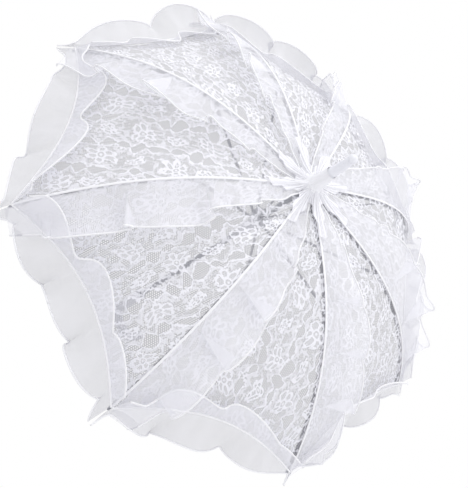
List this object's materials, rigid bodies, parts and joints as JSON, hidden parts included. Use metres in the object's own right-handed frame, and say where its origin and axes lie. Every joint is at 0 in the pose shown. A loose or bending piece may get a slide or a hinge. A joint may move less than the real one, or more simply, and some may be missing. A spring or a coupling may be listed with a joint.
{
  "type": "lace parasol",
  "caption": "Open parasol with a domed floral lace canopy, frilled organza seams and hem, folding ribs on a sliding runner, a tapered ferrule and a crook handle.",
  "frame": {"origin": "centre of the hand grip, on the shaft's axis", "axes": "+Z along the shaft towards the ferrule, -Y through the middle of the first gore"},
  "size_m": [0.7034, 0.7034, 0.6998],
  "materials": {
    "chromed_steel": "bright plated tube",
    "dark_steel": "grey plated wire",
    "white_plastic": "smooth moulded white",
    "lace": "stretch floral net",
    "organza": "sheer crimped organza"
  },
  "bodies": {
    "frame": {"shaft": "chromed_steel", "runner_stop_pin": "chromed_steel", "ferrule": "white_plastic", "ferrule_tip": "white_plastic", "crown_notch": "white_plastic", "crown_wire": "chromed_steel", "rosette": "organza", "handle": "white_plastic", "handle_collar": "white_plastic"},
    "top_catch": {"top_catch": "chromed_steel"},
    "bottom_catch": {"bottom_catch": "chromed_steel"},
    "runner": {"runner": "white_plastic", "runner_wire": "chromed_steel"},
    "rib_1": {"rib_1": "dark_steel", "rib_tip_1": "chromed_steel"},
    "stretcher_1": {"stretcher_1": "dark_steel"},
    "gore_1_left": {"gore_1_left": "lace"},
    "gore_8_right": {"gore_8_right": "lace"},
    "rib_2": {"rib_2": "dark_steel", "rib_tip_2": "chromed_steel"},
    "stretcher_2": {"stretcher_2": "dark_steel"},
    "gore_2_left": {"gore_2_left": "lace"},
    "gore_1_right": {"gore_1_right": "lace"},
    "rib_3": {"rib_3": "dark_steel", "rib_tip_3": "chromed_steel"},
    "stretcher_3": {"stretcher_3": "dark_steel"},
    "gore_3_left": {"gore_3_left": "lace"},
    "gore_2_right": {"gore_2_right": "lace"},
    "rib_4": {"rib_4": "dark_steel", "rib_tip_4": "chromed_steel"},
    "stretcher_4": {"stretcher_4": "dark_steel"},
    "gore_4_left": {"gore_4_left": "lace"},
    "gore_3_right": {"gore_3_right": "lace"},
    "rib_5": {"rib_5": "dark_steel", "rib_tip_5": "chromed_steel"},
    "stretcher_5": {"stretcher_5": "dark_steel"},
    "gore_5_left": {"gore_5_left": "lace"},
    "gore_4_right": {"gore_4_right": "lace"},
    "rib_6": {"rib_6": "dark_steel", "rib_tip_6": "chromed_steel"},
    "stretcher_6": {"stretcher_6": "dark_steel"},
    "gore_6_left": {"gore_6_left": "lace"},
    "gore_5_right": {"gore_5_right": "lace"},
    "rib_7": {"rib_7": "dark_steel", "rib_tip_7": "chromed_steel"},
    "stretcher_7": {"stretcher_7": "dark_steel"},
    "gore_7_left": {"gore_7_left": "lace"},
    "gore_6_right": {"gore_6_right": "lace"},
    "rib_8": {"rib_8": "dark_steel", "rib_tip_8": "chromed_steel"},
    "stretcher_8": {"stretcher_8": "dark_steel"},
    "gore_8_left": {"gore_8_left": "lace"},
    "gore_7_right": {"gore_7_right": "lace"}
  },
  "joints": [
    {"name": "runner_slide", "type": "slide", "parent": "frame", "child": "runner", "axis": [0, 0, -1], "range_m": [0, 0.2072]},
    {"name": "top_catch_press", "type": "hinge", "parent": "frame", "child": "top_catch", "pos_m": [0, 0, 0.36662], "axis": [0, -1, 0], "range_deg": [0, 6.5], "stiffness_Nm_per_rad": 0.6},
    {"name": "bottom_catch_press", "type": "hinge", "parent": "frame", "child": "bottom_catch", "pos_m": [0, 0, 0.174], "axis": [0, -1, 0], "range_deg": [0, 6.5], "stiffness_Nm_per_rad": 0.6},
    {"name": "rib_1_fold", "type": "hinge", "parent": "frame", "child": "rib_1", "pos_m": [-0.00459, -0.01108, 0.54079], "axis": [0.9239, -0.3827, 0], "range_deg": [0, 65.23]},
    {"name": "stretcher_1_swing", "type": "hinge", "parent": "runner", "child": "stretcher_1", "pos_m": [-0.00237, -0.01277, 0.43372], "axis": [-0.9239, 0.3827, 0], "range_deg": [0, 43.42]},
    {"name": "gore_1_left_fold", "type": "hinge", "parent": "rib_1", "child": "gore_1_left", "pos_m": [-0.00459, -0.01108, 0.54079], "axis": [-0.3517, -0.8492, -0.3939], "range_deg": [0, 78.9], "deforming": ["gore_1_left"]},
    {"name": "gore_8_right_fold", "type": "hinge", "parent": "rib_1", "child": "gore_8_right", "pos_m": [-0.00459, -0.01108, 0.54079], "axis": [0.3517, 0.8492, 0.3939], "range_deg": [0, 78.9], "deforming": ["gore_8_right"]},
    {"name": "rib_2_fold", "type": "hinge", "parent": "frame", "child": "rib_2", "pos_m": [0.00459, -0.01108, 0.54079], "axis": [0.9239, 0.3827, 0], "range_deg": [0, 65.23]},
    {"name": "stretcher_2_swing", "type": "hinge", "parent": "runner", "child": "stretcher_2", "pos_m": [0.00736, -0.0107, 0.43372], "axis": [-0.9239, -0.3827, 0], "range_deg": [0, 43.42]},
    {"name": "gore_2_left_fold", "type": "hinge", "parent": "rib_2", "child": "gore_2_left", "pos_m": [0.00459, -0.01108, 0.54079], "axis": [0.3517, -0.8492, -0.3939], "range_deg": [0, 78.9], "deforming": ["gore_2_left"]},
    {"name": "gore_1_right_fold", "type": "hinge", "parent": "rib_2", "child": "gore_1_right", "pos_m": [0.00459, -0.01108, 0.54079], "axis": [-0.3517, 0.8492, 0.3939], "range_deg": [0, 78.9], "deforming": ["gore_1_right"]},
    {"name": "rib_3_fold", "type": "hinge", "parent": "frame", "child": "rib_3", "pos_m": [0.01108, -0.00459, 0.54079], "axis": [0.3827, 0.9239, 0], "range_deg": [0, 65.23]},
    {"name": "stretcher_3_swing", "type": "hinge", "parent": "runner", "child": "stretcher_3", "pos_m": [0.01277, -0.00237, 0.43372], "axis": [-0.3827, -0.9239, 0], "range_deg": [0, 43.42]},
    {"name": "gore_3_left_fold", "type": "hinge", "parent": "rib_3", "child": "gore_3_left", "pos_m": [0.01108, -0.00459, 0.54079], "axis": [0.8492, -0.3517, -0.3939], "range_deg": [0, 78.9], "deforming": ["gore_3_left"]},
    {"name": "gore_2_right_fold", "type": "hinge", "parent": "rib_3", "child": "gore_2_right", "pos_m": [0.01108, -0.00459, 0.54079], "axis": [-0.8492, 0.3517, 0.3939], "range_deg": [0, 78.9], "deforming": ["gore_2_right"]},
    {"name": "rib_4_fold", "type": "hinge", "parent": "frame", "child": "rib_4", "pos_m": [0.01108, 0.00459, 0.54079], "axis": [-0.3827, 0.9239, 0], "range_deg": [0, 65.23]},
    {"name": "stretcher_4_swing", "type": "hinge", "parent": "runner", "child": "stretcher_4", "pos_m": [0.0107, 0.00736, 0.43372], "axis": [0.3827, -0.9239, 0], "range_deg": [0, 43.42]},
    {"name": "gore_4_left_fold", "type": "hinge", "parent": "rib_4", "child": "gore_4_left", "pos_m": [0.01108, 0.00459, 0.54079], "axis": [0.8492, 0.3517, -0.3939], "range_deg": [0, 78.9], "deforming": ["gore_4_left"]},
    {"name": "gore_3_right_fold", "type": "hinge", "parent": "rib_4", "child": "gore_3_right", "pos_m": [0.01108, 0.00459, 0.54079], "axis": [-0.8492, -0.3517, 0.3939], "range_deg": [0, 78.9], "deforming": ["gore_3_right"]},
    {"name": "rib_5_fold", "type": "hinge", "parent": "frame", "child": "rib_5", "pos_m": [0.00459, 0.01108, 0.54079], "axis": [-0.9239, 0.3827, 0], "range_deg": [0, 65.23]},
    {"name": "stretcher_5_swing", "type": "hinge", "parent": "runner", "child": "stretcher_5", "pos_m": [0.00237, 0.01277, 0.43372], "axis": [0.9239, -0.3827, 0], "range_deg": [0, 43.42]},
    {"name": "gore_5_left_fold", "type": "hinge", "parent": "rib_5", "child": "gore_5_left", "pos_m": [0.00459, 0.01108, 0.54079], "axis": [0.3517, 0.8492, -0.3939], "range_deg": [0, 78.9], "deforming": ["gore_5_left"]},
    {"name": "gore_4_right_fold", "type": "hinge", "parent": "rib_5", "child": "gore_4_right", "pos_m": [0.00459, 0.01108, 0.54079], "axis": [-0.3517, -0.8492, 0.3939], "range_deg": [0, 78.9], "deforming": ["gore_4_right"]},
    {"name": "rib_6_fold", "type": "hinge", "parent": "frame", "child": "rib_6", "pos_m": [-0.00459, 0.01108, 0.54079], "axis": [-0.9239, -0.3827, 0], "range_deg": [0, 65.23]},
    {"name": "stretcher_6_swing", "type": "hinge", "parent": "runner", "child": "stretcher_6", "pos_m": [-0.00736, 0.0107, 0.43372], "axis": [0.9239, 0.3827, 0], "range_deg": [0, 43.42]},
    {"name": "gore_6_left_fold", "type": "hinge", "parent": "rib_6", "child": "gore_6_left", "pos_m": [-0.00459, 0.01108, 0.54079], "axis": [-0.3517, 0.8492, -0.3939], "range_deg": [0, 78.9], "deforming": ["gore_6_left"]},
    {"name": "gore_5_right_fold", "type": "hinge", "parent": "rib_6", "child": "gore_5_right", "pos_m": [-0.00459, 0.01108, 0.54079], "axis": [0.3517, -0.8492, 0.3939], "range_deg": [0, 78.9], "deforming": ["gore_5_right"]},
    {"name": "rib_7_fold", "type": "hinge", "parent": "frame", "child": "rib_7", "pos_m": [-0.01108, 0.00459, 0.54079], "axis": [-0.3827, -0.9239, 0], "range_deg": [0, 65.23]},
    {"name": "stretcher_7_swing", "type": "hinge", "parent": "runner", "child": "stretcher_7", "pos_m": [-0.01277, 0.00237, 0.43372], "axis": [0.3827, 0.9239, 0], "range_deg": [0, 43.42]},
    {"name": "gore_7_left_fold", "type": "hinge", "parent": "rib_7", "child": "gore_7_left", "pos_m": [-0.01108, 0.00459, 0.54079], "axis": [-0.8492, 0.3517, -0.3939], "range_deg": [0, 78.9], "deforming": ["gore_7_left"]},
    {"name": "gore_6_right_fold", "type": "hinge", "parent": "rib_7", "child": "gore_6_right", "pos_m": [-0.01108, 0.00459, 0.54079], "axis": [0.8492, -0.3517, 0.3939], "range_deg": [0, 78.9], "deforming": ["gore_6_right"]},
    {"name": "rib_8_fold", "type": "hinge", "parent": "frame", "child": "rib_8", "pos_m": [-0.01108, -0.00459, 0.54079], "axis": [0.3827, -0.9239, 0], "range_deg": [0, 65.23]},
    {"name": "stretcher_8_swing", "type": "hinge", "parent": "runner", "child": "stretcher_8", "pos_m": [-0.0107, -0.00736, 0.43372], "axis": [-0.3827, 0.9239, 0], "range_deg": [0, 43.42]},
    {"name": "gore_8_left_fold", "type": "hinge", "parent": "rib_8", "child": "gore_8_left", "pos_m": [-0.01108, -0.00459, 0.54079], "axis": [-0.8492, -0.3517, -0.3939], "range_deg": [0, 78.9], "deforming": ["gore_8_left"]},
    {"name": "gore_7_right_fold", "type": "hinge", "parent": "rib_8", "child": "gore_7_right", "pos_m": [-0.01108, -0.00459, 0.54079], "axis": [0.8492, 0.3517, 0.3939], "range_deg": [0, 78.9], "deforming": ["gore_7_right"]}
  ],
  "couplings": [
    {"joint": "rib_1_fold", "follows": "runner_slide", "rad_per_m": 5.4946},
    {"joint": "stretcher_1_swing", "follows": "runner_slide", "rad_per_m": 3.6574},
    {"joint": "gore_1_left_fold", "follows": "runner_slide", "rad_per_m": 6.6461},
    {"joint": "gore_8_right_fold", "follows": "runner_slide", "rad_per_m": 6.6461},
    {"joint": "rib_2_fold", "follows": "runner_slide", "rad_per_m": 5.4946},
    {"joint": "stretcher_2_swing", "follows": "runner_slide", "rad_per_m": 3.6574},
    {"joint": "gore_2_left_fold", "follows": "runner_slide", "rad_per_m": 6.6461},
    {"joint": "gore_1_right_fold", "follows": "runner_slide", "rad_per_m": 6.6461},
    {"joint": "rib_3_fold", "follows": "runner_slide", "rad_per_m": 5.4946},
    {"joint": "stretcher_3_swing", "follows": "runner_slide", "rad_per_m": 3.6574},
    {"joint": "gore_3_left_fold", "follows": "runner_slide", "rad_per_m": 6.6461},
    {"joint": "gore_2_right_fold", "follows": "runner_slide", "rad_per_m": 6.6461},
    {"joint": "rib_4_fold", "follows": "runner_slide", "rad_per_m": 5.4946},
    {"joint": "stretcher_4_swing", "follows": "runner_slide", "rad_per_m": 3.6574},
    {"joint": "gore_4_left_fold", "follows": "runner_slide", "rad_per_m": 6.6461},
    {"joint": "gore_3_right_fold", "follows": "runner_slide", "rad_per_m": 6.6461},
    {"joint": "rib_5_fold", "follows": "runner_slide", "rad_per_m": 5.4946},
    {"joint": "stretcher_5_swing", "follows": "runner_slide", "rad_per_m": 3.6574},
    {"joint": "gore_5_left_fold", "follows": "runner_slide", "rad_per_m": 6.6461},
    {"joint": "gore_4_right_fold", "follows": "runner_slide", "rad_per_m": 6.6461},
    {"joint": "rib_6_fold", "follows": "runner_slide", "rad_per_m": 5.4946},
    {"joint": "stretcher_6_swing", "follows": "runner_slide", "rad_per_m": 3.6574},
    {"joint": "gore_6_left_fold", "follows": "runner_slide", "rad_per_m": 6.6461},
    {"joint": "gore_5_right_fold", "follows": "runner_slide", "rad_per_m": 6.6461},
    {"joint": "rib_7_fold", "follows": "runner_slide", "rad_per_m": 5.4946},
    {"joint": "stretcher_7_swing", "follows": "runner_slide", "rad_per_m": 3.6574},
    {"joint": "gore_7_left_fold", "follows": "runner_slide", "rad_per_m": 6.6461},
    {"joint": "gore_6_right_fold", "follows": "runner_slide", "rad_per_m": 6.6461},
    {"joint": "rib_8_fold", "follows": "runner_slide", "rad_per_m": 5.4946},
    {"joint": "stretcher_8_swing", "follows": "runner_slide", "rad_per_m": 3.6574},
    {"joint": "gore_8_left_fold", "follows": "runner_slide", "rad_per_m": 6.6461},
    {"joint": "gore_7_right_fold", "follows": "runner_slide", "rad_per_m": 6.6461}
  ]
}
